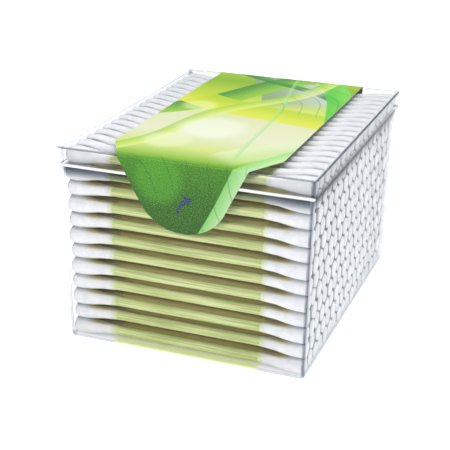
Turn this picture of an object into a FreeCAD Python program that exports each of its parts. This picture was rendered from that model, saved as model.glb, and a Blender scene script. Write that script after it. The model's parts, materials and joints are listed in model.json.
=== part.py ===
import FreeCAD, Part
import math
import os

from FreeCAD import Vector

# A clear rigid plastic box packed full of cotton swabs: a tapered tub, a shallow lid over its rim,
# one printed film label that runs from the back wall over the lid and down the front as a tongue,
# and rows of swabs. The frame's origin is the middle of the underside, with the front towards -Y,
# +X to the right and +Z up.

# Swabs: they lie along X, with a cotton tip at each end of a plastic stick
swab_length = 73.0
stick_diameter = 2.9
stick_inset = 1.4
tip_length = 13.5
tip_diameter = 4.9
tip_end_radius = 2.0
tip_full_length = 6.2
tip_neck_diameter = 3.5

# Packing: each row lies on the one below. Every other row stands half a swab further back, but the
# swabs next to the front and back walls have settled towards them, by this share of a swab
row_count = 12
swabs_per_row = 18
settle = 0.4
settle_reach = 1.5
side_gap = 0.31
row_gap = 0.08
wall_gap = 0.05
floor_gap = 0.02
end_gap = 0.2
end_shift = 0.12
head_room = 0.25

# Tub
wall_thickness = 0.5
floor_thickness = 0.6
draft_angle = 0.9
tub_inner_corner_radius = 0.5
tub_base_radius = 0.9
tub_floor_fillet = 0.4

# Lid
lid_clearance = 0.3
lid_plate_thickness = 0.5
skirt_thickness = 0.45
skirt_height = 5.8
lid_inner_corner_radius = 0.45
lid_edge_radius = 0.7
rim_gap = 0.05

# Label film
film_thickness = 0.12
label_half_width = 25.8
label_taper_start = 12.0
label_taper_angle = 27.0
label_corner_radius = 3.0
tongue_length = 21.5
tongue_gap = 0.1
back_strip_length = 18.0

# Film hinge behind the lid
hinge_drop = 1.0
fold_clearance = 0.06
back_ramp_drop = 0.6
film_parting = 0.18

# Sizes that follow from the ones above
slope = math.tan(math.radians(draft_angle))
pitch_count = swabs_per_row + 0.5
floor_half_width = swab_length / 2 + end_gap
floor_half_depth = pitch_count * (tip_diameter + side_gap) / 2 + wall_gap
row_spacing = tip_diameter + row_gap
stack_top = floor_thickness + floor_gap + tip_diameter + (row_count - 1) * row_spacing
lid_underside = stack_top + head_room
lid_top = lid_underside + lid_plate_thickness
rim_z = lid_underside - rim_gap
skirt_z = lid_top - skirt_height


def inner_half_width(z):
    return floor_half_width + slope * (z - floor_thickness)


def inner_half_depth(z):
    return floor_half_depth + slope * (z - floor_thickness)


def outer_half_width(z):
    return inner_half_width(z) + wall_thickness


def outer_half_depth(z):
    return inner_half_depth(z) + wall_thickness


skirt_inner_half_width = outer_half_width(rim_z) + lid_clearance
skirt_inner_half_depth = outer_half_depth(rim_z) + lid_clearance
lid_half_width = skirt_inner_half_width + skirt_thickness
lid_half_depth = skirt_inner_half_depth + skirt_thickness
hinge_z = skirt_z - hinge_drop
hinge_y = (lid_half_depth + outer_half_depth(hinge_z)) / 2 + film_thickness + fold_clearance


# Blocks

def frustum(half_width, half_depth, low_z, high_z):
    """Block with flat leaning sides, from its half sizes as functions of height."""
    rings = []
    for z in (low_z, high_z):
        w = half_width(z)
        d = half_depth(z)
        rings.append([Vector(-w, -d, z), Vector(w, -d, z), Vector(w, d, z), Vector(-w, d, z)])
    low, high = rings
    outlines = [low[::-1], high]
    for i in range(4):
        j = (i + 1) % 4
        outlines.append([low[i], low[j], high[j], high[i]])
    faces = [Part.Face(Part.makePolygon(points + points[:1])) for points in outlines]
    return Part.makeSolid(Part.makeShell(faces))


def upright_edges(solid):
    """Edges that rise from one level to another."""
    return [e for e in solid.Edges if abs(e.Vertexes[0].Z - e.Vertexes[-1].Z) > 0.5]


def level_edges(solid, z):
    """Edges that lie at height z."""
    return [e for e in solid.Edges if abs(e.BoundBox.ZMin - z) < 1e-4 and abs(e.BoundBox.ZMax - z) < 1e-4]


def rounded_block(half_width, half_depth, low_z, high_z, corner_radius):
    """Frustum with its four upright edges rounded."""
    block = frustum(half_width, half_depth, low_z, high_z)
    return block.makeFillet(corner_radius, upright_edges(block))


# Tub and lid

def tub():
    """Thin-walled tapered tub with a rounded base."""
    outer_radius = tub_inner_corner_radius + wall_thickness
    outside = rounded_block(outer_half_width, outer_half_depth, 0, rim_z, outer_radius)
    outside = outside.makeFillet(tub_base_radius, level_edges(outside, 0))
    mouth_z = rim_z + wall_thickness
    inside = rounded_block(inner_half_width, inner_half_depth, floor_thickness, mouth_z,
                           tub_inner_corner_radius)
    inside = inside.makeFillet(tub_floor_fillet, level_edges(inside, floor_thickness))
    return outside.cut(inside)


def lid():
    """Flat plate with a shallow skirt that hangs outside the tub's rim."""
    outer_radius = lid_inner_corner_radius + skirt_thickness
    outside = rounded_block(lambda z: lid_half_width, lambda z: lid_half_depth,
                            skirt_z, lid_top, outer_radius)
    outside = outside.makeFillet(lid_edge_radius, level_edges(outside, lid_top))
    below = skirt_z - skirt_thickness
    inside = rounded_block(lambda z: skirt_inner_half_width, lambda z: skirt_inner_half_depth,
                           below, lid_underside, lid_inner_corner_radius)
    return outside.cut(inside)


# Label film

def round_corner(before, corner, after, radius):
    """Start, middle and end of the arc that rounds one corner of a path."""
    to_before = (before - corner).normalize()
    to_after = (after - corner).normalize()
    half_angle = to_before.getAngle(to_after) / 2
    reach = radius / math.tan(half_angle)
    inward = (to_before + to_after).normalize()
    middle = corner + inward * (radius / math.sin(half_angle) - radius)
    return corner + to_before * reach, middle, corner + to_after * reach


def film(outline, half_width):
    """Film of even thickness inside an outline in the YZ plane, given as (y, z, corner radius)."""
    points = [Vector(-half_width, y, z) for y, z, _ in outline]
    edges = []
    last = points[0]
    for i in range(1, len(points) - 1):
        radius = outline[i][2]
        if radius:
            start, middle, end = round_corner(points[i - 1], points[i], points[i + 1], radius)
            edges.append(Part.makeLine(last, start))
            edges.append(Part.Arc(start, middle, end).toShape())
            last = end
        else:
            edges.append(Part.makeLine(last, points[i]))
            last = points[i]
    edges.append(Part.makeLine(last, points[-1]))
    section = Part.Wire(edges).makeOffset2D(-film_thickness, join=2, fill=True, openResult=True)
    return section.extrude(Vector(2 * half_width, 0, 0))


def slab(points, sweep):
    """Prism on a closed outline of corner points."""
    return Part.Face(Part.makePolygon(points + points[:1])).extrude(sweep)


def top_outline(front_y, front_half_width, low_z):
    """Upright prism round the label seen from above, with the start of its taper rounded."""
    back_y = lid_half_depth + label_corner_radius
    taper_y = label_taper_start - lid_half_depth
    corners = [(-label_half_width, back_y), (-label_half_width, taper_y), (-front_half_width, front_y),
               (front_half_width, front_y), (label_half_width, taper_y), (label_half_width, back_y)]
    prism = slab([Vector(x, y, low_z) for x, y in corners], Vector(0, 0, skirt_height))
    turns = [e for e in upright_edges(prism) if abs(e.Vertexes[0].Y - taper_y) < 1e-4]
    return prism.makeFillet(label_corner_radius, turns)


def front_outline(half_width, high_z, tip_z):
    """Level prism round the tongue seen from the front: straight tapering sides and a round tip."""
    taper = math.tan(math.radians(label_taper_angle))
    stretch = math.hypot(1, taper)
    tip_radius = (half_width / taper - high_z + tip_z) / (stretch / taper - 1)
    touch_x = tip_radius / stretch
    touch_z = tip_z + tip_radius - tip_radius * taper / stretch
    high_right = Vector(half_width, 0, high_z)
    low_right = Vector(touch_x, 0, touch_z)
    low_left = Vector(-touch_x, 0, touch_z)
    high_left = Vector(-half_width, 0, high_z)
    edges = [Part.makeLine(high_right, low_right),
             Part.Arc(low_right, Vector(0, 0, tip_z), low_left).toShape(),
             Part.makeLine(low_left, high_left), Part.makeLine(high_left, high_right)]
    return Part.Face(Part.Wire(edges)).extrude(Vector(0, -2 * lid_half_depth, 0))


def back_outline(high_z, low_z):
    """Block round the part of the label that lies on the lid's back skirt."""
    w = label_half_width
    corners = [Vector(-w, 0, low_z), Vector(w, 0, low_z), Vector(w, 0, high_z), Vector(-w, 0, high_z)]
    return slab(corners, Vector(0, 2 * lid_half_depth, 0))


def label_lid():
    """Film on the lid, from the hinge line over the back skirt and the top down to the tongue's tip."""
    back_y = lid_half_depth + film_thickness
    top_z = lid_top + film_thickness
    edge_radius = lid_edge_radius + film_thickness
    tip_z = top_z - tongue_length
    end_z = tip_z - tongue_gap
    end_y = outer_half_depth(end_z) + tongue_gap + film_thickness
    outline = [(hinge_y, hinge_z, 0), (back_y, skirt_z, 0), (back_y, top_z, edge_radius),
               (-back_y, top_z, edge_radius), (-back_y, skirt_z, 0), (-end_y, end_z, 0)]
    seam_z = lid_top - lid_edge_radius
    taper = math.tan(math.radians(label_taper_angle))
    seam_half_width = label_half_width - taper * (label_taper_start + film_thickness)
    outlines = [top_outline(-back_y, seam_half_width, seam_z),
                front_outline(seam_half_width, seam_z, tip_z),
                back_outline(seam_z, hinge_z - film_thickness)]
    strip = film(outline, label_half_width)
    pieces = [strip.common(outline) for outline in outlines]
    return pieces[0].fuse(pieces[1:]).removeSplitter()


def label_back():
    """Film on the tub's back wall, up to just under the hinge line, with rounded lower corners."""
    skin = film_thickness / math.cos(math.radians(draft_angle))
    ramp_z = hinge_z - back_ramp_drop
    ramp_y = outer_half_depth(ramp_z) + skin
    end_z = ramp_z - back_strip_length
    end_y = outer_half_depth(end_z) + skin
    hinge_line = Vector(0, hinge_y, hinge_z)
    towards_wall = (Vector(0, ramp_y, ramp_z) - hinge_line).normalize()
    start = hinge_line + towards_wall * film_parting
    strip = film([(end_y, end_z, 0), (ramp_y, ramp_z, 0), (start.y, start.z, 0)], label_half_width)
    corners = [e for e in strip.Edges if e.BoundBox.XLength < 1e-4
               and e.Length < 2 * film_thickness and e.BoundBox.ZMin < end_z + film_thickness]
    return strip.makeFillet(label_corner_radius, corners)


# Swabs

def stick_solid():
    """Plastic stick along X, centred on the origin; its ends stop short of the cotton's ends."""
    length = swab_length - 2 * stick_inset
    return Part.makeCylinder(stick_diameter / 2, length, Vector(-length / 2, 0, 0), Vector(1, 0, 0))


def tip_solid():
    """Cotton tip at the right-hand end of a centred swab, with the blind bore that the stick fills."""
    end_x = swab_length / 2
    tip_radius = tip_diameter / 2
    stick_radius = stick_diameter / 2
    nose = Vector(end_x, tip_radius - tip_end_radius, 0)
    shoulder = Vector(end_x - tip_end_radius, tip_radius, 0)
    bend = tip_end_radius * math.sqrt(0.5)
    arc_middle = Vector(shoulder.x + bend, nose.y + bend, 0)
    neck_x = end_x - tip_length
    inner = [shoulder, Vector(end_x - tip_full_length, tip_radius, 0),
             Vector(neck_x, tip_neck_diameter / 2, 0), Vector(neck_x, stick_radius, 0),
             Vector(end_x - stick_inset, stick_radius, 0), Vector(end_x - stick_inset, 0, 0),
             Vector(end_x, 0, 0), nose]
    edges = [Part.Arc(nose, arc_middle, shoulder).toShape()]
    edges += [Part.makeLine(a, b) for a, b in zip(inner, inner[1:])]
    return Part.Face(Part.Wire(edges)).revolve(Vector(0, 0, 0), Vector(1, 0, 0), 360)


def swab_places(row):
    """Axis positions of one row's swabs, row 1 being the top one, with small shifts along them."""
    z = floor_thickness + floor_gap + tip_diameter / 2 + (row_count - row) * row_spacing
    free_half_depth = inner_half_depth(z) - wall_gap
    pitch = 2 * free_half_depth / pitch_count
    for i in range(swabs_per_row):
        if row % 2:
            place = i + 1.0 - settle * math.exp(-i / settle_reach)
        else:
            place = i + 0.5 + settle * math.exp((i + 1 - swabs_per_row) / settle_reach)
        x = end_shift * math.sin(2.3 * i + 1.9 * row)
        yield Vector(x, place * pitch - free_half_depth, z)


def placed(solid, places):
    """One compound of a solid repeated at each place."""
    return Part.makeCompound([solid.translated(place) for place in places])


def build():
    """All nodes, by name."""
    nodes = {"tub": tub(), "lid": lid(), "label_lid": label_lid(), "label_back": label_back()}
    stick = stick_solid()
    right_tip = tip_solid()
    left_tip = right_tip.rotated(Vector(0, 0, 0), Vector(0, 0, 1), 180)
    for row in range(1, row_count + 1):
        places = list(swab_places(row))
        nodes[f"swab_sticks_row_{row:02d}"] = placed(stick, places)
        nodes[f"cotton_tips_left_row_{row:02d}"] = placed(left_tip, places)
        nodes[f"cotton_tips_right_row_{row:02d}"] = placed(right_tip, places)
    return nodes


os.makedirs("parts", exist_ok=True)
for name, shape in build().items():
    shape.exportStep(f"parts/{name}.step")
print(f"box {2 * lid_half_width:.2f} x {2 * lid_half_depth:.2f} x {lid_top:.2f} mm")
print(f"skirt from {skirt_z:.2f}")
print(f"hinge at y {hinge_y:.3f}, z {hinge_z:.3f}; row spacing {row_spacing:.3f}")
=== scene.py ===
import bmesh
import bpy
import json
import math
import random
from mathutils import Matrix, Vector


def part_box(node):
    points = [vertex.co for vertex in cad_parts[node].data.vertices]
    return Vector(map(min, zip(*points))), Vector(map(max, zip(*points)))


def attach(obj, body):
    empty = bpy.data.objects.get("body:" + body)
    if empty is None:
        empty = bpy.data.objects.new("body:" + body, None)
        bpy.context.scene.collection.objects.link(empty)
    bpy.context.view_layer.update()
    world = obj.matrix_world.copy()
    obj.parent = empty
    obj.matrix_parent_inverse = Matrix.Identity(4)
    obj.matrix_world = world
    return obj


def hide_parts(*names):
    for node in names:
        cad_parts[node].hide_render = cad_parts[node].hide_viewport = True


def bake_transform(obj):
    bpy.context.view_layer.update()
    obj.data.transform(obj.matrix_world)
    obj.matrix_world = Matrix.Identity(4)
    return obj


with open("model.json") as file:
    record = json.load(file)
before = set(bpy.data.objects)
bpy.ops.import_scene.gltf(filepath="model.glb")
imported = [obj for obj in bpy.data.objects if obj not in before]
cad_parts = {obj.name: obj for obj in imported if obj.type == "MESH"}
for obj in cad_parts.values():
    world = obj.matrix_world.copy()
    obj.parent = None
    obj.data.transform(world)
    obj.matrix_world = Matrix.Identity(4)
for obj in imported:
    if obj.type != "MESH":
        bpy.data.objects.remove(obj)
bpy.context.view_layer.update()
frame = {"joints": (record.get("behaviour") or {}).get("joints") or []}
mm = 0.001
near = 0.01 * mm  # places closer than this count as one
tubBody = "tub_with_swabs"
lidBody = "lid_with_label"
print("frame loaded")


# Small helpers for the tools that a hand would click

def clearSelection():
    for piece in list(bpy.context.selected_objects):
        piece.select_set(False)


def makeActive(piece):
    clearSelection()
    piece.select_set(True)
    bpy.context.view_layer.objects.active = piece


def editStart(piece):
    makeActive(piece)
    bpy.ops.object.mode_set(mode="EDIT")


def editEnd():
    bpy.ops.object.mode_set(mode="OBJECT")


def pick(kind, test):  # selects the verts, edges or faces of the mesh in edit mode that pass a test
    bpy.ops.mesh.select_mode(type={"verts": "VERT", "edges": "EDGE", "faces": "FACE"}[kind])
    bpy.ops.mesh.select_all(action="DESELECT")
    sheet = bmesh.from_edit_mesh(bpy.context.object.data)
    for part in getattr(sheet, kind):
        if test(part):
            part.select_set(True)
    sheet.select_flush_mode()
    bmesh.update_edit_mesh(bpy.context.object.data)


def middle(edge):
    return (edge.verts[0].co + edge.verts[1].co) / 2


def standsUp(edge):  # True where an edge runs from bottom to top
    step = edge.verts[1].co - edge.verts[0].co
    return abs(step.z) > 0.9 * step.length


def addModifier(piece, kind, **settings):
    makeActive(piece)
    modifier = piece.modifiers.new(kind.lower(), kind)
    for name, value in settings.items():
        setattr(modifier, name, value)
    bpy.ops.object.modifier_apply(modifier=modifier.name)


def finishPiece(piece, name, body, nodes, smoothAngle=40):
    makeActive(piece)
    bpy.ops.object.transform_apply(location=True, rotation=True, scale=True)
    bpy.ops.object.shade_smooth_by_angle(angle=math.radians(smoothAngle))
    piece.name = name
    piece.data.name = name
    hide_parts(*nodes)
    if body:
        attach(piece, body)


# Materials: one function turns an sRGB hex value to linear, one adds a node

smooth = {"interpolation_type": "SMOOTHSTEP"}  # a MapRange that eases in and out
colours = {"data_type": "RGBA"}  # a Mix of colours: socket 0 is the share, 6 and 7 are the colours


def toLinear(hexColour):
    channels = [int(hexColour[i:i + 2], 16) / 255 for i in (1, 3, 5)]
    return tuple(c / 12.92 if c <= 0.04045 else ((c + 0.055) / 1.055) ** 2.4 for c in channels) + (1,)


def addNode(tree, kind, feeds=(), **settings):  # feeds are values or sockets, in order or by their names
    node = tree.nodes.new("ShaderNode" + kind)
    for name, value in settings.items():
        setattr(node, name, value)
    for socket, value in feeds.items() if isinstance(feeds, dict) else enumerate(feeds):
        if isinstance(value, bpy.types.NodeSocket):
            tree.links.new(value, node.inputs[socket])
        else:
            node.inputs[socket].default_value = value
    return node


def newMaterial(name):
    material = bpy.data.materials.new(name)
    material.use_nodes = True
    material.node_tree.nodes.clear()
    return material, material.node_tree


# Clear polystyrene, injection moulded: glass-clear and thin, so that little more than a faint gloss shows on
# its flat walls; light is bent away in its round edges, which read as thin grey lines. Each pair of colours
# is what comes through where the wall is seen straight on and where it is seen edge on; heights and widths
# are in mm

# The grey band on the tub just below the lid is a painted shadow of the lid's skirt
clearPlastic = {"straightGloss": 0.01, "slantGloss": 0.3, "glossPower": 5.0, "tintPower": 2.0,
                "roughness": 0.03, "wall": ("#fdfdfd", "#f3f5f6"), "tubBend": ("#e4e7ea", "#aeb4ba"),
                "tubCorner": ("#b4b9be", "#8b9299"), "lidBend": ("#dbdee1", "#989fa6"),
                "lidEdge": ("#b9bdc2", "#8d949b"), "skirtShadow": "#b9bec3", "skirtShadowHeight": 4.4,
                "stickReflection": "#f4f7e2", "glowHeight": 2.3, "glowFade": 0.7, "glowHalf": 22.6, "glowSoft": 1.0,
                "cutEdge": "#f4f6f8", "cutRoughness": 0.2, "cutAlpha": 0.85, "ior": 1.59}


def clearPolystyrene(name, tints, skirtShadowTop=None, overSticks=False):
    material, tree = newMaterial(name)
    facing = addNode(tree, "LayerWeight", {"Blend": 0.5}).outputs["Facing"]
    slant = addNode(tree, "Math", [facing, clearPlastic["glossPower"]], operation="POWER").outputs[0]
    gloss = addNode(tree, "Math", [slant, clearPlastic["slantGloss"], clearPlastic["straightGloss"]],
                    operation="MULTIPLY_ADD").outputs[0]
    steep = addNode(tree, "Math", [facing, clearPlastic["tintPower"]], operation="POWER").outputs[0]
    tint = addNode(tree, "Mix", {0: steep, 6: toLinear(tints[0]), 7: toLinear(tints[1])},
                   **colours).outputs[2]
    if skirtShadowTop or overSticks:
        place = addNode(tree, "TexCoord").outputs["Object"]
        axes = addNode(tree, "SeparateXYZ", [place]).outputs
    if skirtShadowTop:  # painted shadow of the lid's skirt: the tub's wall is tinted grey in a band just below the lid, fading downward
        rising = addNode(tree, "MapRange", [axes[2], skirtShadowTop - clearPlastic["skirtShadowHeight"] * mm, skirtShadowTop],
                         **smooth).outputs[0]
        belowLid = addNode(tree, "Math", [axes[2], skirtShadowTop], operation="LESS_THAN").outputs[0]
        skirtShadow = addNode(tree, "Math", [rising, belowLid], operation="MULTIPLY").outputs[0]
        tint = addNode(tree, "Mix", {0: skirtShadow, 6: tint, 7: toLinear(clearPlastic["skirtShadow"])},
                       **colours).outputs[2]
    if overSticks:  # painted reflection of the sticks: the lowest part of the round base is tinted pale green where the sticks lie on it
        top = clearPlastic["glowHeight"]
        low = addNode(tree, "MapRange", [axes[2], top * mm, (top - clearPlastic["glowFade"]) * mm],
                      **smooth).outputs[0]
        half, soft = clearPlastic["glowHalf"], clearPlastic["glowSoft"]
        beside = addNode(tree, "Math", [axes[0]], operation="ABSOLUTE").outputs[0]
        between = addNode(tree, "MapRange", [beside, (half + soft) * mm, (half - soft) * mm],
                          **smooth).outputs[0]
        glow = addNode(tree, "Math", [low, between], operation="MULTIPLY").outputs[0]
        tint = addNode(tree, "Mix", {0: glow, 6: tint, 7: toLinear(clearPlastic["stickReflection"])},
                       **colours).outputs[2]
    through = addNode(tree, "BsdfTransparent", {"Color": tint}).outputs[0]
    shine = addNode(tree, "BsdfGlossy", {"Color": (1, 1, 1, 1),
                                         "Roughness": clearPlastic["roughness"]}).outputs[0]
    mixed = addNode(tree, "MixShader", [gloss, through, shine]).outputs[0]
    addNode(tree, "OutputMaterial", {"Surface": mixed})
    return material


# The cut edge of the same plastic gathers light from inside the wall, so it shows as a whitish line

def edgePolystyrene():
    material, tree = newMaterial("polystyrene_edge")
    shader = addNode(tree, "BsdfPrincipled", {"Base Color": toLinear(clearPlastic["cutEdge"]),
                                              "Roughness": clearPlastic["cutRoughness"],
                                              "IOR": clearPlastic["ior"], "Alpha": clearPlastic["cutAlpha"]})
    addNode(tree, "OutputMaterial", {"Surface": shader.outputs[0]})
    return material


# Cotton wool, wound and pressed on the stick: matt white fibre, thin at its neck so that the stick shows
# through. Sizes are in mm; neck and tip say how far from the box's middle each starts and is complete. The
# fibre is drawn twice as coarse as it is, so that it shows

# The crevice colours are painted shade
cottonFinish = {"white": "#f1f1f3", "shade": "#e4e6ea", "toneRange": (0.35, 0.6), "fibreSpacing": 0.16,
                "fibreDraw": 0.3, "lumpSize": 2.4, "lumpBump": 0.8, "bump": 0.3, "bumpDepth": 0.12,
                "neck": "#cfdb98", "neckStart": 22.0, "neckEnd": 25.4, "ragged": 2.4,
                "tipStart": 29.5, "tipEnd": 33.5, "faceLayer": (4.5, 2.5), "topLayer": (5.5, 3.5),
                "neckShade": "#a39656", "neckShadeCover": 0.9, "creviceShade": "#5f6368",
                "frontCreviceShade": "#b4b8bd", "neckCreviceShade": "#a2965a", "creviceDepth": 2.4,
                "creviceRange": (0.95, 0.6), "topNeckOpen": 0.65, "roughness": 0.95, "specular": 0.15,
                "sheen": 0.25, "sheenRoughness": 0.5}


def woundCotton(packHigh):
    material, tree = newMaterial("cotton_wound")
    place = addNode(tree, "TexCoord").outputs["Object"]
    axes = addNode(tree, "SeparateXYZ", [place]).outputs
    reach = addNode(tree, "Math", [axes[0]], operation="ABSOLUTE").outputs[0]
    beside = addNode(tree, "Math", [axes[1]], operation="ABSOLUTE").outputs[0]

    # Fine fibre along the head, and soft lumps
    drawn = addNode(tree, "Mapping", {"Vector": place, "Scale": (cottonFinish["fibreDraw"], 1, 1)}).outputs[0]
    fibre = addNode(tree, "TexNoise", {"Vector": drawn, "Scale": 1 / (cottonFinish["fibreSpacing"] * 2 * mm),
                                       "Detail": 3.0, "Roughness": 0.6}).outputs[0]
    lumps = addNode(tree, "TexNoise", {"Vector": place, "Scale": 1 / (cottonFinish["lumpSize"] * mm),
                                       "Detail": 2.0}).outputs[0]
    halfLumps = addNode(tree, "Math", [lumps, 0.5], operation="MULTIPLY").outputs[0]
    mottle = addNode(tree, "Math", [fibre, 0.5, halfLumps], operation="MULTIPLY_ADD").outputs[0]
    tone = addNode(tree, "MapRange", [mottle, *cottonFinish["toneRange"]], **smooth).outputs[0]
    colour = addNode(tree, "Mix", {0: tone, 6: toLinear(cottonFinish["shade"]),
                                   7: toLinear(cottonFinish["white"])}, **colours).outputs[2]

    # The stick's colour shows through the neck, up to a ragged edge
    ragged = cottonFinish["ragged"]
    inward = addNode(tree, "Math", [reach, ragged / 2 * mm], operation="SUBTRACT").outputs[0]
    wandering = addNode(tree, "Math", [fibre, ragged * mm, inward], operation="MULTIPLY_ADD").outputs[0]
    cover = addNode(tree, "MapRange", [wandering, cottonFinish["neckStart"] * mm,
                                       cottonFinish["neckEnd"] * mm], **smooth).outputs[0]
    colour = addNode(tree, "Mix", {0: cover, 6: toLinear(cottonFinish["neck"]), 7: colour},
                     **colours).outputs[2]

    # Where a place lies: at the heads' tips, at the pack's front or back, at its top
    tips = addNode(tree, "MapRange", [reach, cottonFinish["tipStart"] * mm, cottonFinish["tipEnd"] * mm],
                   **smooth).outputs[0]
    necks = addNode(tree, "Math", [1.0, tips], operation="SUBTRACT").outputs[0]
    face = addNode(tree, "MapRange", [beside] + [packHigh.y - d * mm for d in cottonFinish["faceLayer"]],
                   **smooth).outputs[0]
    upper = addNode(tree, "MapRange", [axes[2]] + [packHigh.z - d * mm for d in cottonFinish["topLayer"]],
                    **smooth).outputs[0]

    # Necks inside the pack lie in the sticks' shade
    outside = addNode(tree, "Math", [face, upper], operation="MAXIMUM").outputs[0]
    within = addNode(tree, "Math", [1.0, outside], operation="SUBTRACT").outputs[0]
    deep = addNode(tree, "Math", [within, necks], operation="MULTIPLY").outputs[0]
    shaded = addNode(tree, "Math", [deep, cottonFinish["neckShadeCover"]], operation="MULTIPLY").outputs[0]
    colour = addNode(tree, "Mix", {0: shaded, 6: colour, 7: toLinear(cottonFinish["neckShade"])},
                     **colours).outputs[2]

    # Painted shade in the crevices between heads, where the heads' own ambient occlusion is low: grey,
    # lighter on the pack's front face, olive towards the necks; less of it at the top row's necks
    around = addNode(tree, "AmbientOcclusion", {"Distance": cottonFinish["creviceDepth"] * mm}, samples=8,
                     only_local=True).outputs["AO"]
    closed = addNode(tree, "MapRange", [around, *cottonFinish["creviceRange"]], **smooth).outputs[0]
    topNecks = addNode(tree, "Math", [upper, necks], operation="MULTIPLY").outputs[0]
    shown = addNode(tree, "Math", [topNecks, -cottonFinish["topNeckOpen"], 1.0],
                    operation="MULTIPLY_ADD").outputs[0]
    amount = addNode(tree, "Math", [closed, shown], operation="MULTIPLY").outputs[0]
    dark = addNode(tree, "Mix", {0: face, 6: toLinear(cottonFinish["creviceShade"]),
                                 7: toLinear(cottonFinish["frontCreviceShade"])}, **colours).outputs[2]
    creviceShade = addNode(tree, "Mix", {0: tips, 6: toLinear(cottonFinish["neckCreviceShade"]), 7: dark},
                      **colours).outputs[2]
    colour = addNode(tree, "Mix", {0: amount, 6: colour, 7: creviceShade}, **colours).outputs[2]

    lumpHeight = addNode(tree, "Math", [lumps, cottonFinish["lumpBump"]], operation="MULTIPLY").outputs[0]
    height = addNode(tree, "Math", [fibre, lumpHeight], operation="ADD").outputs[0]
    bump = addNode(tree, "Bump", {"Height": height, "Strength": cottonFinish["bump"],
                                  "Distance": cottonFinish["bumpDepth"] * mm}).outputs[0]
    shader = addNode(tree, "BsdfPrincipled", {"Base Color": colour, "Roughness": cottonFinish["roughness"],
                                              "Specular IOR Level": cottonFinish["specular"],
                                              "Sheen Weight": cottonFinish["sheen"],
                                              "Sheen Roughness": cottonFinish["sheenRoughness"],
                                              "Normal": bump})
    addNode(tree, "OutputMaterial", {"Surface": shader.outputs[0]})
    return material


# Polypropylene stick, extruded and dyed through: satin yellow-green with faint streaks along it. Sticks
# deeper in the pack than the outer layer are painted a shaded olive; sizes in mm

stickFinish = {"outer": "#d6de9e", "inner": "#bcac60", "layer": 3.2, "streak": "#aebb6c",
               "streakSpacing": 0.4, "streakDraw": 0.02, "streakRange": (0.4, 0.65), "bump": 0.15,
               "bumpDepth": 0.05, "roughness": 0.34, "ior": 1.49}


def extrudedPolypropylene(packHigh):
    material, tree = newMaterial("polypropylene_extruded")
    place = addNode(tree, "TexCoord").outputs["Object"]
    axes = addNode(tree, "SeparateXYZ", [place]).outputs
    drawn = addNode(tree, "Mapping", {"Vector": place, "Scale": (stickFinish["streakDraw"], 1, 1)}).outputs[0]
    streaks = addNode(tree, "TexNoise", {"Vector": drawn, "Scale": 1 / (stickFinish["streakSpacing"] * mm),
                                         "Detail": 2.0}).outputs[0]
    streaked = addNode(tree, "MapRange", [streaks, *stickFinish["streakRange"]], **smooth).outputs[0]
    outer = addNode(tree, "Mix", {0: streaked, 6: toLinear(stickFinish["outer"]),
                                  7: toLinear(stickFinish["streak"])}, **colours).outputs[2]
    # painted shade: sticks deeper in the pack than the outer layer take the olive colour
    layer = stickFinish["layer"] * mm
    beside = addNode(tree, "Math", [axes[1]], operation="ABSOLUTE").outputs[0]
    sideways = addNode(tree, "MapRange", [beside, packHigh.y - 2 * layer, packHigh.y - layer],
                       **smooth).outputs[0]
    upwards = addNode(tree, "MapRange", [axes[2], packHigh.z - 2 * layer, packHigh.z - layer],
                      **smooth).outputs[0]
    outside = addNode(tree, "Math", [sideways, upwards], operation="MAXIMUM").outputs[0]
    colour = addNode(tree, "Mix", {0: outside, 6: toLinear(stickFinish["inner"]), 7: outer},
                     **colours).outputs[2]
    bump = addNode(tree, "Bump", {"Height": streaks, "Strength": stickFinish["bump"],
                                  "Distance": stickFinish["bumpDepth"] * mm}).outputs[0]
    shader = addNode(tree, "BsdfPrincipled", {"Base Color": colour, "Roughness": stickFinish["roughness"],
                                              "IOR": stickFinish["ior"], "Normal": bump})
    addNode(tree, "OutputMaterial", {"Surface": shader.outputs[0]})
    return material


# Tub: a cube, drawn in at its base, with round corners, opened at the top and given its wall. Sizes are in
# mm. The wall's rim takes the finish in the slot after its face's own, so every second slot is a cut edge

tubShape = {"draft": 0.9, "corner": 1.0, "base": 0.9, "wall": 0.5, "rimBevel": 0.1, "cornerSteps": 5,
            "baseSteps": 4}
tubSlots = {"bend": 2, "cornerLine": 4}
wallLean = math.tan(math.radians(tubShape["draft"]))


def addBlock(low, high, finishes):
    clearSelection()
    bpy.ops.mesh.primitive_cube_add(size=1, location=(low + high) / 2, scale=high - low)
    bpy.ops.object.transform_apply(location=True, rotation=True, scale=True)
    for finish in finishes:
        bpy.context.object.data.materials.append(finish)
    return bpy.context.object


def facesCorner(face):  # True in the middle of a round upright corner
    return abs(face.normal.z) < 0.3 and abs(abs(face.normal.x) - abs(face.normal.y)) < 0.3


def openShell(piece, shape, rimZ):  # an open skin gets its wall, and its rim a small bevel
    editEnd()
    addModifier(piece, "SOLIDIFY", thickness=shape["wall"] * mm, offset=-1, use_even_offset=True,
                material_offset_rim=1)
    editStart(piece)
    pick("edges", lambda e: abs(middle(e).z - rimZ) < near
         and len({f.material_index for f in e.link_faces}) > 1)
    bpy.ops.mesh.bevel(offset=shape["rimBevel"] * mm, segments=2, affect="EDGES", offset_type="OFFSET")
    editEnd()
    addModifier(piece, "WEIGHTED_NORMAL", keep_sharp=True, weight=80)


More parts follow.
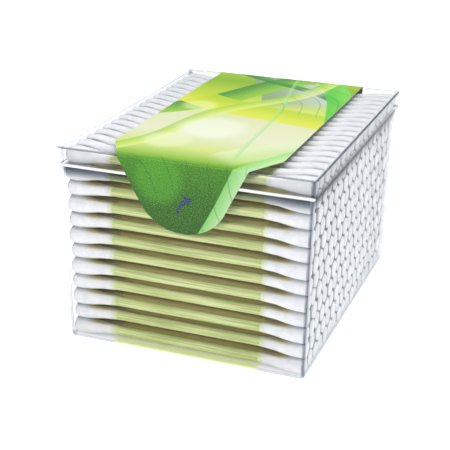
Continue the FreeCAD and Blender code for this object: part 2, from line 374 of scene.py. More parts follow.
def makeTub(finishes):
    low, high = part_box("tub")
    tub = addBlock(low, high, finishes)
    drawnIn = wallLean * (high.z - low.z)
    editStart(tub)
    pick("verts", lambda v: v.co.z < low.z + near)
    bpy.ops.transform.resize(value=(1 - drawnIn / high.x, 1 - drawnIn / high.y, 1),
                             center_override=(0, 0, low.z))
    pick("edges", standsUp)
    bpy.ops.mesh.bevel(offset=tubShape["corner"] * mm, segments=tubShape["cornerSteps"], affect="EDGES",
                       material=tubSlots["bend"])
    pick("edges", lambda e: middle(e).z < low.z + near)
    bpy.ops.mesh.bevel(offset=tubShape["base"] * mm, segments=tubShape["baseSteps"], affect="EDGES",
                       material=tubSlots["bend"])
    pick("faces", facesCorner)
    tub.active_material_index = tubSlots["cornerLine"]
    bpy.ops.object.material_slot_assign()
    pick("faces", lambda f: f.normal.z > 0.9)
    bpy.ops.mesh.delete(type="FACE")
    openShell(tub, tubShape, high.z)
    finishPiece(tub, "tub_shell", tubBody, ["tub"])


# Lid: made the same way, open below. The foot of its skirt catches the light as a strip, taller at its front
# and back than at its sides

lidShape = {"corner": 0.9, "edge": 0.5, "wall": 0.45, "rimBevel": 0.1, "cornerSteps": 5, "edgeSteps": 4,
            "lip": 0.75, "sideLip": 0.25}
lidSlots = {"lip": 1, "bend": 2, "edge": 3, "sideLip": 4}


def makeLid(finishes):
    low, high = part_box("lid")
    lid = addBlock(low, high, finishes)
    editStart(lid)
    pick("edges", standsUp)
    bpy.ops.mesh.bevel(offset=lidShape["corner"] * mm, segments=lidShape["cornerSteps"], affect="EDGES",
                       material=lidSlots["bend"])
    pick("edges", lambda e: middle(e).z > high.z - near)
    bpy.ops.mesh.bevel(offset=lidShape["edge"] * mm, segments=lidShape["edgeSteps"], affect="EDGES",
                       material=lidSlots["edge"])
    pick("faces", lambda f: f.normal.z < -0.9)
    bpy.ops.mesh.delete(type="FACE")
    for lip, axis in (("lip", 1), ("sideLip", 0)):
        top = low.z + lidShape[lip] * mm
        bpy.ops.mesh.select_all(action="SELECT")
        bpy.ops.mesh.bisect(plane_co=(0, 0, top), plane_no=(0, 0, 1))
        pick("faces", lambda f: f.calc_center_median().z < top and abs(f.normal[axis]) > 0.7)
        lid.active_material_index = lidSlots[lip]
        bpy.ops.object.material_slot_assign()
    openShell(lid, lidShape, low.z)
    finishPiece(lid, "lid_shell", lidBody, ["lid"])


# Swabs: two heads for each side and one stick are modelled, then copied into each row; sizes in mm

swabShape = {"rows": 12, "perRow": 18, "length": 73.0, "stick": 2.9, "stickInset": 1.4, "stickEnd": 0.9,
             "stickChamfer": 0.2, "stickSides": 12, "heads": 2, "headSides": 12, "cornerSwell": 1.08,
             "lump": 0.05, "vary": 0.02, "roll": 0.1, "endShift": 0.12, "shiftTurns": (2.3, 1.9),
             "settle": 0.4, "settleDepth": 1.5, "wallPress": 0.15, "endGap": 0.06, "seed": 12}
# Rings of a head in mm: distance from its end, half width and half height. The right wall presses the
# cotton's end flat; at the left it has kept its round end
tipRings = {"pressed": [(0.0, 2.0, 2.25), (0.2, 2.4, 2.62), (0.8, 2.56, 2.8)],
            "round": [(0.0, 1.6, 1.65), (0.4, 2.15, 2.25), (1.2, 2.48, 2.65)]}
noses = {"pressed": 0.05, "round": 0.15}
neckRings = [(3.4, 2.6, 2.84), (6.4, 2.34, 2.42), (9.6, 1.86, 1.84), (14.0, 1.49, 1.49)]


def growRings(rings, sides):  # a disc across X, drawn out ring by ring
    clearSelection()
    bpy.ops.mesh.primitive_circle_add(vertices=sides, radius=1, fill_type="TRIFAN",
                                      rotation=(0, math.pi / 2, 0))
    piece = bpy.context.object
    bpy.ops.object.transform_apply(location=True, rotation=True, scale=True)
    piece.scale = (1, rings[0][1] * mm, rings[0][2] * mm)
    bpy.ops.object.transform_apply(location=True, rotation=True, scale=True)
    editStart(piece)
    pick("edges", lambda e: e.is_boundary)
    for before, after in zip(rings, rings[1:]):
        step = (before[0] - after[0]) * mm
        bpy.ops.mesh.extrude_region_move(TRANSFORM_OT_translate={"value": (step, 0, 0)})
        bpy.ops.transform.resize(value=(1, after[1] / before[1], after[2] / before[2]),
                                 center_override=(-after[0] * mm, 0, 0))
    bpy.ops.mesh.edge_face_add()
    bpy.ops.mesh.select_all(action="SELECT")
    bpy.ops.mesh.normals_make_consistent(inside=False)
    return piece


def isCorner(place):  # a pressed head's six corners: its top, its bottom, and 30 degrees off its sides
    return abs(place.y) < near or 0.3 < abs(place.z / place.y) < 1


def makeHead(cotton, tip, seed):
    head = growRings(tipRings[tip] + neckRings, swabShape["headSides"])
    nose = noses[tip] * mm
    pick("verts", lambda v: v.co.x > -near and v.co.yz.length < near)
    bpy.ops.transform.translate(value=(nose, 0, 0))
    pressedEnd = -neckRings[1][0] * mm - near  # its six neighbours press it six-sided up to this ring
    pick("verts", lambda v: v.co.x > pressedEnd and isCorner(v.co))
    swell = swabShape["cornerSwell"]
    bpy.ops.transform.resize(value=(1, swell, swell), center_override=(0, 0, 0))
    pick("verts", lambda v: v.co.x > -neckRings[-2][0] * mm)
    bpy.ops.transform.vertex_random(offset=swabShape["lump"] * mm, normal=1, seed=seed)
    editEnd()
    head.data.transform(Matrix.Translation((swabShape["length"] / 2 * mm - nose, 0, 0)))
    head.data.materials.append(cotton)
    return head


def makeStick(plastic):
    reach = swabShape["length"] - 2 * swabShape["stickInset"]
    radius = swabShape["stick"] / 2
    end = radius * swabShape["stickEnd"]
    chamfer = swabShape["stickChamfer"]
    rings = [(0, end, end), (chamfer, radius, radius), (reach - chamfer, radius, radius), (reach, end, end)]
    stick = growRings(rings, swabShape["stickSides"])
    editEnd()
    stick.data.transform(Matrix.Translation((reach / 2 * mm, 0, 0)))
    stick.data.materials.append(plastic)
    return stick


def swabPlaces(row):  # the axis points of one row, between the first and last stick that the frame gives
    low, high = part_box(f"swab_sticks_row_{row:02d}")
    radius = swabShape["stick"] / 2 * mm
    last = swabShape["perRow"] - 1
    steps = []
    for i in range(swabShape["perRow"]):
        if row % 2:
            steps.append(i - swabShape["settle"] * math.exp(-i / swabShape["settleDepth"]))
        else:
            steps.append(i + swabShape["settle"] * math.exp((i - last) / swabShape["settleDepth"]))
    reach = (high.y - low.y - 2 * radius) / (steps[-1] - steps[0])
    alongRow, downRows = swabShape["shiftTurns"]
    for i, step in enumerate(steps):
        x = swabShape["endShift"] * math.sin(alongRow * i + downRows * row) * mm
        yield Vector((x, low.y + radius + (step - steps[0]) * reach, (low.z + high.z) / 2))


def copyTo(master, place, turn, vary):  # a copy with its own mesh, either way up, a little thicker or thinner
    copied = master.copy()
    copied.data = master.data.copy()
    bpy.context.scene.collection.objects.link(copied)
    angle = random.choice((0, math.pi)) + random.uniform(-swabShape["roll"], swabShape["roll"])
    girth = 1 + random.uniform(-vary, vary)
    shape = Matrix.Diagonal((1, girth, girth, 1))
    copied.data.transform(Matrix.Translation(place) @ turn @ shape @ Matrix.Rotation(angle, 4, "X"))
    return copied


def pressFlat(head, row, low, high):  # the walls, the lid and the floor press the outer cotton flat
    side = swabShape["wallPress"] * mm
    for vertex in head.data.vertices:
        vertex.co.y = min(max(vertex.co.y, low.y - side), high.y + side)
        if row == 1:
            vertex.co.z = min(vertex.co.z, high.z)
        if row == swabShape["rows"]:
            vertex.co.z = max(vertex.co.z, low.z)


def joinRows(copies, name, node):
    clearSelection()
    for copied in copies:
        copied.select_set(True)
    bpy.context.view_layer.objects.active = copies[0]
    bpy.ops.object.join()
    nodes = [f"{node}_row_{row:02d}" for row in range(1, swabShape["rows"] + 1)]
    finishPiece(copies[0], name, tubBody, nodes, smoothAngle=70)


def roomAtEnd(place, high):  # how far the cotton can reach on towards the wall, which leans out
    inside = high.x - (tubShape["wall"] + swabShape["endGap"]) * mm - wallLean * (high.z - place.z)
    return max(0, inside - swabShape["length"] / 2 * mm)


def fillTub(cotton, plastic):
    random.seed(swabShape["seed"])
    rightHeads = [makeHead(cotton, "pressed", seed) for seed in range(swabShape["heads"])]
    leftHeads = [makeHead(cotton, "round", seed) for seed in range(swabShape["heads"])]
    stick = makeStick(plastic)
    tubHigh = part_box("tub")[1]
    ahead = Matrix.Identity(4)
    turned = Matrix.Rotation(math.pi, 4, "Z")
    sticks, rightTips, leftTips = [], [], []
    for row in range(1, swabShape["rows"] + 1):
        low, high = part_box(f"cotton_tips_right_row_{row:02d}")
        for place in swabPlaces(row):
            outward = Vector((roomAtEnd(place, tubHigh), 0, 0))
            sticks.append(copyTo(stick, place, ahead, 0))
            rightTips.append(copyTo(random.choice(rightHeads), place + outward, ahead, swabShape["vary"]))
            leftTips.append(copyTo(random.choice(leftHeads), place - outward, turned, swabShape["vary"]))
            pressFlat(rightTips[-1], row, low, high)
            pressFlat(leftTips[-1], row, low, high)
    joinRows(sticks, "sticks", "swab_sticks")
    joinRows(rightTips, "cotton_right", "cotton_tips_right")
    joinRows(leftTips, "cotton_left", "cotton_tips_left")
    for master in rightHeads + leftHeads + [stick]:
        bpy.data.objects.remove(master)


# Polypropylene film, printed in green inks and varnished: flat colour fields with soft edges under an even
# gloss. Its pattern reads the label's flat place in mm, from the middle of the lid, with -Y towards the
# tongue's tip

printBase = [(-72, "#11540a"), (-60, "#1d650a"), (-51, "#398213"), (-47, "#86ba36"), (-38, "#cddb82"),
             (-24, "#dfe2c4"), (-4, "#dadfb2"), (12, "#cbdd6a"), (26, "#aecb30"), (40, "#82b128"),
             (52, "#a3c43a"), (76, "#d0e078")]
printRibbons = [
    {"turn": 10, "middle": 9, "wave": 6, "length": 120, "phase": 0.9, "half": 12, "soft": 0.4,
     "starts": (8, 22), "inks": ("#86a17e", "#c0ccc1"), "cover": 0.95},
    {"turn": -38, "middle": -23, "wave": 4, "length": 90, "phase": 2.0, "half": 6, "soft": 0.4,
     "inks": ("#2f8a34", "#8cc435"), "cover": 0.95},
    {"turn": 52, "middle": 33, "wave": 3, "length": 80, "phase": 1.0, "half": 2.4, "soft": 0.4,
     "inks": ("#1d7a38", "#4c9c33"), "cover": 0.9},
    {"turn": 64, "middle": 9, "wave": 5, "length": 110, "phase": 3.6, "half": 7.5, "soft": 0.5,
     "inks": ("#dce138", "#b4d02b"), "cover": 0.92},
    {"turn": 20, "middle": 30, "wave": 2, "length": 100, "phase": 0.0, "half": 4.5, "soft": 0.4,
     "inks": ("#46c43c", "#74d655"), "cover": 0.9},
    {"turn": -24, "middle": -6, "wave": 3, "length": 70, "phase": 5.0, "half": 3.4, "soft": 0.8,
     "inks": ("#9ccb27", "#dcea84"), "cover": 0.8},
    {"turn": -34, "middle": 35, "wave": 3, "length": 80, "phase": 0.6, "half": 6, "soft": 0.4,
     "starts": (-34, -26), "inks": ("#dbe8c0", "#c3dd98"), "cover": 0.7},
    {"turn": -27, "middle": 38.4, "wave": 0.6, "length": 60, "phase": 0.6, "half": 2.4, "soft": 0.3,
     "inks": ("#8fd67c", "#bfe9ae"), "cover": 0.85},
    {"turn": 6, "middle": 9, "wave": 1, "length": 90, "phase": 1.2, "half": 0.8, "soft": 0.3,
     "starts": (-48, -40), "inks": ("#a9e29b", "#86d97a"), "cover": 0.5},
]
printDiscs = [((-4, -16), 13, "#eef2e2", 0.6), ((-12, -32), 9, "#eaf0c8", 0.5),
              ((-17, 6), 7, "#e9f3b0", 0.45), ((-7, -56), 9, "#4ba222", 0.55),
              ((12, 34), 6, "#dfe7dd", 0.3)]  # middle, radius, ink, cover
discCore = 0.55  # share of a disc's radius where its ink is full
printLines = {"turn": 35, "middle": 0, "wave": 4, "length": 50, "phase": 0, "spacing": 3.1, "half": 0.12,
              "ink": "#14501c", "cover": 0.4, "tongue": (-46.0, -50.0), "right": (4.0, 9.0),
              "back": (4.0, 12.0)}
printArrow = {"middle": (4.6, -66.6), "radius": 6.0, "tail": 0.2, "shaft": 0.75, "head": 1.9, "start": 0.05,
              "neck": 0.95, "tip": 1.36, "ink": "#12305f"}
filmFinish = {"inkDepth": "#f5f5f5", "grain": "#cfe884", "grainSize": 0.35, "grainRange": (0.45, 0.7),
              "grainCover": 0.2, "rippleSize": 14.0, "ripple": 0.06, "bump": 0.4, "roughness": 0.45,
              "ior": 1.49, "specular": 0.3, "coat": 0.05, "coatRoughness": 0.15, "backing": "#f3f5ec",
              "showThrough": 0.22}


def offWave(tree, flat, shape):  # signed distance from a wavy line, and the place along it
    turn = math.radians(shape["turn"])
    across = addNode(tree, "VectorMath", [flat, (math.cos(turn), math.sin(turn), 0)],
                     operation="DOT_PRODUCT").outputs["Value"]
    length = addNode(tree, "VectorMath", [flat, (-math.sin(turn), math.cos(turn), 0)],
                     operation="DOT_PRODUCT").outputs["Value"]
    turns = addNode(tree, "Math", [length, 2 * math.pi / shape["length"], shape["phase"]],
                    operation="MULTIPLY_ADD").outputs[0]
    sine = addNode(tree, "Math", [turns], operation="SINE").outputs[0]
    wave = addNode(tree, "Math", [sine, shape["wave"], shape["middle"]], operation="MULTIPLY_ADD").outputs[0]
    return addNode(tree, "Math", [across, wave], operation="SUBTRACT").outputs[0], length


def fineLines(tree, flat, axes):  # thin wavy lines on the tongue and at the back right
    stripe = addNode(tree, "Math", [offWave(tree, flat, printLines)[0], printLines["spacing"]],
                     operation="PINGPONG").outputs[0]
    drawn = addNode(tree, "MapRange", [stripe, printLines["half"] * 2, printLines["half"]],
                    **smooth).outputs[0]
    line = addNode(tree, "Math", [drawn, printLines["cover"]], operation="MULTIPLY").outputs[0]
    onTongue = addNode(tree, "MapRange", [axes[1], *printLines["tongue"]], **smooth).outputs[0]
    atRight = addNode(tree, "MapRange", [axes[0], *printLines["right"]], **smooth).outputs[0]
    atBack = addNode(tree, "MapRange", [axes[1], *printLines["back"]], **smooth).outputs[0]
    backRight = addNode(tree, "Math", [atRight, atBack], operation="MULTIPLY").outputs[0]
    shown = addNode(tree, "Math", [onTongue, backRight], operation="MAXIMUM").outputs[0]
    return addNode(tree, "Math", [line, shown], operation="MULTIPLY").outputs[0]


def arrowShape(tree, axes):  # a curved arrow: round a centre, wider from tail to neck, then a pointed head
    x = addNode(tree, "Math", [printArrow["middle"][0], axes[0]], operation="SUBTRACT").outputs[0]
    y = addNode(tree, "Math", [axes[1], printArrow["middle"][1]], operation="SUBTRACT").outputs[0]
    xSquare = addNode(tree, "Math", [x, x], operation="MULTIPLY").outputs[0]
    ySquare = addNode(tree, "Math", [y, y], operation="MULTIPLY").outputs[0]
    square = addNode(tree, "Math", [xSquare, ySquare], operation="ADD").outputs[0]
    reach = addNode(tree, "Math", [square], operation="SQRT").outputs[0]
    fromArc = addNode(tree, "Math", [reach, printArrow["radius"]], operation="SUBTRACT").outputs[0]
    off = addNode(tree, "Math", [fromArc], operation="ABSOLUTE").outputs[0]
    angle = addNode(tree, "Math", [y, x], operation="ARCTAN2").outputs[0]
    shaft = addNode(tree, "MapRange", [angle, printArrow["start"], printArrow["neck"], printArrow["tail"],
                                       printArrow["shaft"]]).outputs[0]
    head = addNode(tree, "MapRange", [angle, printArrow["neck"], printArrow["tip"], printArrow["head"],
                                      0.0]).outputs[0]
    pastTail = addNode(tree, "Math", [angle, printArrow["start"]], operation="GREATER_THAN").outputs[0]
    beforeNeck = addNode(tree, "Math", [angle, printArrow["neck"]], operation="LESS_THAN").outputs[0]
    onShaft = addNode(tree, "Math", [pastTail, beforeNeck], operation="MULTIPLY").outputs[0]
    onHead = addNode(tree, "Math", [1.0, beforeNeck], operation="SUBTRACT").outputs[0]
    shaftWidth = addNode(tree, "Math", [onShaft, shaft], operation="MULTIPLY").outputs[0]
    headWidth = addNode(tree, "Math", [onHead, head], operation="MULTIPLY").outputs[0]
    width = addNode(tree, "Math", [shaftWidth, headWidth], operation="ADD").outputs[0]
    return addNode(tree, "Math", [off, width], operation="LESS_THAN").outputs[0]


def printedColour(tree, flat):
    axes = addNode(tree, "SeparateXYZ", [flat]).outputs
    low, high = printBase[0][0], printBase[-1][0]
    share = addNode(tree, "MapRange", [axes[1], low, high]).outputs[0]
    ramp = addNode(tree, "ValToRGB", [share])
    for place, ink in printBase[1:-1]:
        ramp.color_ramp.elements.new((place - low) / (high - low)).color = toLinear(ink)
    ramp.color_ramp.elements[0].color = toLinear(printBase[0][1])
    ramp.color_ramp.elements[-1].color = toLinear(printBase[-1][1])
    colour = ramp.outputs[0]
    for ribbon in printRibbons:
        half = ribbon["half"]
        off, length = offWave(tree, flat, ribbon)
        across = addNode(tree, "MapRange", [off, -half, half], **smooth).outputs[0]
        inks = addNode(tree, "Mix", {0: across, 6: toLinear(ribbon["inks"][0]),
                                     7: toLinear(ribbon["inks"][1])}, **colours).outputs[2]
        away = addNode(tree, "Math", [off], operation="ABSOLUTE").outputs[0]
        inside = addNode(tree, "MapRange", [away, half, half - ribbon["soft"]], **smooth).outputs[0]
        if "starts" in ribbon:
            begun = addNode(tree, "MapRange", [length, *ribbon["starts"]], **smooth).outputs[0]
            inside = addNode(tree, "Math", [inside, begun], operation="MULTIPLY").outputs[0]
        cover = addNode(tree, "Math", [inside, ribbon["cover"]], operation="MULTIPLY").outputs[0]
        colour = addNode(tree, "Mix", {0: cover, 6: colour, 7: inks}, **colours).outputs[2]
    for (x, y), radius, ink, full in printDiscs:
        reach = addNode(tree, "VectorMath", [flat, (x, y, 0)], operation="DISTANCE").outputs["Value"]
        inside = addNode(tree, "MapRange", [reach, radius, radius * discCore], **smooth).outputs[0]
        cover = addNode(tree, "Math", [inside, full], operation="MULTIPLY").outputs[0]
        colour = addNode(tree, "Mix", {0: cover, 6: colour, 7: toLinear(ink)}, **colours).outputs[2]
    colour = addNode(tree, "Mix", {0: fineLines(tree, flat, axes), 6: colour, 7: toLinear(printLines["ink"])},
                     **colours).outputs[2]
    return addNode(tree, "Mix", {0: arrowShape(tree, axes), 6: colour, 7: toLinear(printArrow["ink"])},
                   **colours).outputs[2]


def flatPlace(tree, flatLow, flatSize):  # the label's place in mm as it lay flat, from its own UV map
    sheet = addNode(tree, "UVMap", uv_map="flat").outputs[0]
    return addNode(tree, "Mapping", {"Vector": sheet, "Location": (*flatLow, 0),
                                     "Scale": (*flatSize, 1)}).outputs[0]


def printedFilm(flatLow, flatSize):
    material, tree = newMaterial("polypropylene_film_printed")
    flat = flatPlace(tree, flatLow, flatSize)
    grain = addNode(tree, "TexNoise", {"Vector": flat, "Scale": 1 / filmFinish["grainSize"],
                                       "Detail": 2.0}).outputs[0]
    speckled = addNode(tree, "MapRange", [grain, *filmFinish["grainRange"]], **smooth).outputs[0]
    cover = addNode(tree, "Math", [speckled, filmFinish["grainCover"]], operation="MULTIPLY").outputs[0]
    colour = addNode(tree, "Mix", {0: cover, 6: printedColour(tree, flat), 7: toLinear(filmFinish["grain"])},
                     **colours).outputs[2]
    colour = addNode(tree, "Mix", {0: 1.0, 6: colour, 7: toLinear(filmFinish["inkDepth"])},
                     blend_type="MULTIPLY", **colours).outputs[2]
    ripple = addNode(tree, "TexNoise", {"Vector": flat, "Scale": 1 / filmFinish["rippleSize"],
                                        "Detail": 1.0}).outputs[0]
    bump = addNode(tree, "Bump", {"Height": ripple, "Strength": filmFinish["bump"],
                                  "Distance": filmFinish["ripple"] * mm}).outputs[0]
    shader = addNode(tree, "BsdfPrincipled", {"Base Color": colour, "Roughness": filmFinish["roughness"],
                                              "IOR": filmFinish["ior"],
                                              "Specular IOR Level": filmFinish["specular"],
                                              "Coat Weight": filmFinish["coat"],
                                              "Coat Roughness": filmFinish["coatRoughness"], "Normal": bump})
    addNode(tree, "OutputMaterial", {"Surface": shader.outputs[0]})
    return material


# The film's back: white ink under the print, a little green from it

def filmBacking(flatLow, flatSize):
    material, tree = newMaterial("polypropylene_film_back")
    printed = printedColour(tree, flatPlace(tree, flatLow, flatSize))
    colour = addNode(tree, "Mix", {0: filmFinish["showThrough"], 6: toLinear(filmFinish["backing"]),
                                   7: printed}, **colours).outputs[2]
    shader = addNode(tree, "BsdfPrincipled", {"Base Color": colour, "Roughness": filmFinish["roughness"],
                                              "IOR": filmFinish["ior"]})
    addNode(tree, "OutputMaterial", {"Surface": shader.outputs[0]})
    return material


# Label: a flat strip is cut to its outline, keeps its flat place as its UV map, and is then folded over the
# lid. Sizes are in mm and angles in degrees; the cuts give the first and last angle and the steps of a
# rounded corner

labelShape = {"taper": 27.0, "taperStart": 12.0, "corner": 3.0, "film": 0.1, "edgeRadius": 0.62,
              "foldRadius": 0.3, "columns": 36, "rows": 100, "edgeSteps": 6, "foldSteps": 2, "tipSteps": 16,
              "shoulderCuts": (70.0, 83.0, 2), "backCuts": (97.5, 172.5, 5), "foldSlack": 0.001,
              "tongueGap": 0.22, "rampDrop": 0.54, "wallGap": 0.12, "turnForward": 0.3, "turnUp": 0.8}


def tangentCuts(centre, radius, first, last, steps):  # trims a round end by a row of straight cuts
    for i in range(steps + 1):
        angle = math.radians(first + (last - first) * i / steps)
        outward = Vector((math.sin(angle), -math.cos(angle), 0))
        bpy.ops.mesh.select_all(action="SELECT")
        bpy.ops.mesh.bisect(plane_co=Vector(centre) + outward * radius, plane_no=outward, clear_outer=True)


# Where a flat strip turns to follow points in (outward, z): flat distance, angle and radius of each turn

def planFolds(points, radii):
    folds = []
    flat = points[0][0]
    used = 0
    for before, corner, after, radius in zip(points, points[1:], points[2:], radii):
        a = Vector(corner) - Vector(before)
        b = Vector(after) - Vector(corner)
        turn = -math.atan2(a.x * b.y - a.y * b.x, a.dot(b))
        tangent = radius * math.tan(abs(turn) / 2)
        flat += a.length - used - tangent
        folds.append((flat, turn, radius))
        flat += radius * abs(turn)
        used = tangent
    flat += (Vector(points[-1]) - Vector(points[-2])).length - used
    return folds, flat


def foldLines(side, folds):  # each turn as small equal steps: (side, flat distance, angle), outermost first
    lines = []
    for flat, turn, radius in folds:
        steps = labelShape["edgeSteps"] if abs(turn) > 1 else labelShape["foldSteps"]
        for i in range(steps):
            lines.append((side, flat + radius * abs(turn) * (i + 0.5) / steps, turn / steps))
    return lines[::-1]


def trimOutline(halfWidth, frontEnd, backEnd, taperY, topZ):  # a tapered, round tongue and round corners
    taper = math.radians(labelShape["taper"])
    tipRadius = (halfWidth / math.tan(taper) - frontEnd - taperY) / (1 / math.sin(taper) - 1)
    steep = 90 - labelShape["taper"]
    tangentCuts((0, tipRadius - frontEnd, topZ), tipRadius, -steep, steep, labelShape["tipSteps"])
    corner = labelShape["corner"] * mm
    shoulderY = taperY + corner * math.tan(taper / 2)
    for side in (-1, 1):
        for y, cuts in ((shoulderY, labelShape["shoulderCuts"]), (backEnd - corner, labelShape["backCuts"])):
            first, last, steps = cuts
            tangentCuts((side * (halfWidth - corner), y, topZ), corner, side * first, side * last, steps)


def makeLabel():
    lidLow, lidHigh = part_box("lid")
    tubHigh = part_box("tub")[1]
    onLidLow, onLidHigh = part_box("label_lid")
    onTubLow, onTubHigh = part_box("label_back")
    hinge = Vector(frame["joints"][0]["pos_m"])
    halfWidth = onLidHigh.x
    topZ = onLidHigh.z
    faceY = -onLidLow.y
    tongueY = tubHigh.y - wallLean * (tubHigh.z - onLidLow.z) + labelShape["tongueGap"] * mm
    rampZ = onTubHigh.z - labelShape["rampDrop"] * mm
    wallY = tubHigh.y - wallLean * (tubHigh.z - rampZ) + labelShape["wallGap"] * mm
    wallEndY = tubHigh.y - wallLean * (tubHigh.z - onTubLow.z) + labelShape["wallGap"] * mm
    edgeRadius = labelShape["edgeRadius"] * mm
    foldRadius = labelShape["foldRadius"] * mm
    overEdge = [(0, topZ), (faceY, topZ), (faceY, lidLow.z)]
    front = overEdge + [(tongueY, onLidLow.z)]
    back = overEdge + [(hinge.y, hinge.z), (wallY, rampZ), (wallEndY, onTubLow.z)]
    frontFolds, frontEnd = planFolds(front, [edgeRadius, foldRadius])
    backFolds, backEnd = planFolds(back, [edgeRadius, foldRadius, foldRadius, foldRadius])
    total = frontEnd + backEnd

    clearSelection()
    bpy.ops.mesh.primitive_grid_add(x_subdivisions=labelShape["columns"], y_subdivisions=labelShape["rows"],
                                    size=1, location=(0, (backEnd - frontEnd) / 2, topZ))
    label = bpy.context.object
    label.scale = (2 * halfWidth, total, 1)
    bpy.ops.object.transform_apply(location=True, rotation=True, scale=True)
    editStart(label)
    trimOutline(halfWidth, frontEnd, backEnd, labelShape["taperStart"] * mm - lidHigh.y, topZ)
    lines = foldLines(-1, frontFolds) + foldLines(1, backFolds)
    for side, flat, turn in lines:
        bpy.ops.mesh.select_all(action="SELECT")
        bpy.ops.mesh.bisect(plane_co=(0, side * flat, topZ), plane_no=(0, 1, 0))
    editEnd()

    places = [vertex.co.copy() for vertex in label.data.vertices]
    for layer in list(label.data.uv_layers):
        label.data.uv_layers.remove(layer)
    flatMap = label.data.uv_layers.new(name="flat")
    for loop in label.data.loops:
        place = places[loop.vertex_index]
        flatMap.data[loop.index].uv = (place.x / (2 * halfWidth) + 0.5, (place.y + frontEnd) / total)

    editStart(label)
    for side, flat, turn in lines:
        pick("verts", lambda v: places[v.index].y * side > flat + labelShape["foldSlack"] * mm)
        bpy.ops.transform.rotate(value=side * turn, orient_axis="X", center_override=(0, side * flat, topZ))
    editEnd()
    flatLow = (-halfWidth / mm, -frontEnd / mm)
    flatSize = (2 * halfWidth / mm, total / mm)
    label.data.materials.append(printedFilm(flatLow, flatSize))
    label.data.materials.append(filmBacking(flatLow, flatSize))
    addModifier(label, "SOLIDIFY", thickness=labelShape["film"] * mm, offset=-1, material_offset=1,
                material_offset_rim=1)
    finishPiece(label, "label_film", None, ["label_lid", "label_back"], smoothAngle=30)
    # A short turn forward and up is worked out here, but it is not applied to the label
    turn = Vector((0, -labelShape["turnForward"], labelShape["turnUp"])) * mm
    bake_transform(label)


# Light, floor and camera. The paper floor glows a little, except in the tub's shade, whose rim is given in mm

studio = {"world": 0.35, "worldTint": "#fafbff", "backdrop": 1.0, "floor": "#fbfbfb", "floorSize": 12.0,
          "floorGlow": 0.3, "floorSeen": 0.4, "shadeRim": (8.0, 1.0)}
lamps = [
    {"name": "key", "place": (-0.20, -0.66, 0.52), "size": 0.30, "power": 2.75},
    {"name": "top", "place": (0.20, 0.06, 0.78), "size": 0.40, "power": 4.8},
    {"name": "right", "place": (0.70, -0.10, 0.45), "size": 0.20, "power": 0.5},
]
viewpoint = {"target": (-5.28, -0.57, 23.64), "distance": 372.0, "azimuth": 20.27, "elevation": 21.67,
             "roll": 0.89, "lens": 90.99, "sensor": 36.0}


def makeWorld():
    world = bpy.data.worlds.new("white_studio")
    world.use_nodes = True
    bpy.context.scene.world = world
    tree = world.node_tree
    tree.nodes.clear()
    light = addNode(tree, "Background", {"Color": toLinear(studio["worldTint"]),
                                         "Strength": studio["world"]}).outputs[0]
    backdrop = addNode(tree, "Background", {"Color": (1, 1, 1, 1), "Strength": studio["backdrop"]}).outputs[0]
    seen = addNode(tree, "LightPath").outputs["Is Camera Ray"]
    both = addNode(tree, "MixShader", [seen, light, backdrop]).outputs[0]
    addNode(tree, "OutputWorld", {"Surface": both})
    bpy.context.scene.view_settings.view_transform = "Standard"


def makeFloor():
    clearSelection()
    bpy.ops.mesh.primitive_plane_add(size=studio["floorSize"], location=(0, 0, 0))
    floor = bpy.context.object
    floor.name = "floor"
    material, tree = newMaterial("floor_paper")
    seen = addNode(tree, "LightPath").outputs["Is Camera Ray"]
    glow = addNode(tree, "Math", [seen, studio["floorSeen"], studio["floorGlow"]],
                   operation="MULTIPLY_ADD").outputs[0]
    place = addNode(tree, "TexCoord").outputs["Object"]
    axes = addNode(tree, "SeparateXYZ", [place]).outputs
    away = []
    for axis, reach in enumerate(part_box("tub")[1].xy):
        beside = addNode(tree, "Math", [axes[axis]], operation="ABSOLUTE").outputs[0]
        away.append(addNode(tree, "Math", [beside, reach], operation="SUBTRACT").outputs[0])
    furthest = addNode(tree, "Math", away, operation="MAXIMUM").outputs[0]
    clear = addNode(tree, "MapRange", [furthest] + [-rim * mm for rim in studio["shadeRim"]],
                    **smooth).outputs[0]
    glow = addNode(tree, "Math", [glow, clear], operation="MULTIPLY").outputs[0]
    shader = addNode(tree, "BsdfPrincipled", {"Base Color": toLinear(studio["floor"]), "Roughness": 0.9,
                                              "Specular IOR Level": 0.1, "Emission Color": (1, 1, 1, 1),
                                              "Emission Strength": glow})
    addNode(tree, "OutputMaterial", {"Surface": shader.outputs[0]})
    floor.data.materials.append(material)


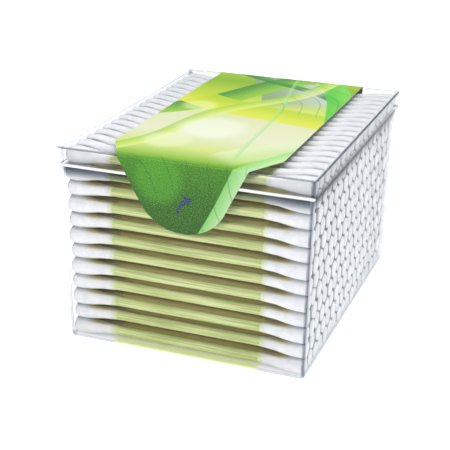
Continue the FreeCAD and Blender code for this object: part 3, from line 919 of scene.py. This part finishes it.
def placeLamps():
    for lamp in lamps:
        light = bpy.data.lights.new(lamp["name"], "AREA")
        light.size = lamp["size"]
        light.energy = lamp["power"]
        stand = bpy.data.objects.new(lamp["name"], light)
        bpy.context.scene.collection.objects.link(stand)
        stand.location = lamp["place"]
        stand.rotation_euler = (-Vector(lamp["place"])).to_track_quat("-Z", "Y").to_euler()


def placeCamera():
    turn = math.radians(viewpoint["azimuth"])
    rise = math.radians(viewpoint["elevation"])
    back = Vector((math.sin(turn) * math.cos(rise), -math.cos(turn) * math.cos(rise), math.sin(rise)))
    data = bpy.data.cameras.new("camera")
    data.lens = viewpoint["lens"]
    data.sensor_width = viewpoint["sensor"]
    data.clip_start = 0.01
    camera = bpy.data.objects.new("camera", data)
    bpy.context.scene.collection.objects.link(camera)
    camera.location = Vector(viewpoint["target"]) * mm + back * viewpoint["distance"] * mm
    level = (-back).to_track_quat("-Z", "Y").to_matrix()
    roll = Matrix.Rotation(math.radians(viewpoint["roll"]), 3, "Z")
    camera.rotation_euler = (level @ roll).to_euler()
    bpy.context.scene.camera = camera


wall = clearPolystyrene("polystyrene_clear_wall", clearPlastic["wall"])
tubWall = clearPolystyrene("polystyrene_clear_tub_wall", clearPlastic["wall"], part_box("lid")[0].z, True)
cutEdge = edgePolystyrene()
tubBend = clearPolystyrene("polystyrene_tub_corner", clearPlastic["tubBend"], None, True)
tubCorner = clearPolystyrene("polystyrene_tub_corner_line", clearPlastic["tubCorner"])
lidBend = clearPolystyrene("polystyrene_lid_corner", clearPlastic["lidBend"])
lidEdge = clearPolystyrene("polystyrene_lid_edge", clearPlastic["lidEdge"])
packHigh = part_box("swab_sticks_row_01")[1]
cotton = woundCotton(packHigh)
plastic = extrudedPolypropylene(packHigh)
makeTub([tubWall, cutEdge, tubBend, cutEdge, tubCorner, cutEdge])
print("tub done")
makeLid([wall, cutEdge, lidBend, lidEdge, lidEdge, lidEdge])
print("lid done")
fillTub(cotton, plastic)
print("swabs done")
makeLabel()
print("label done")
makeWorld()
makeFloor()
placeLamps()
placeCamera()
print("studio done")
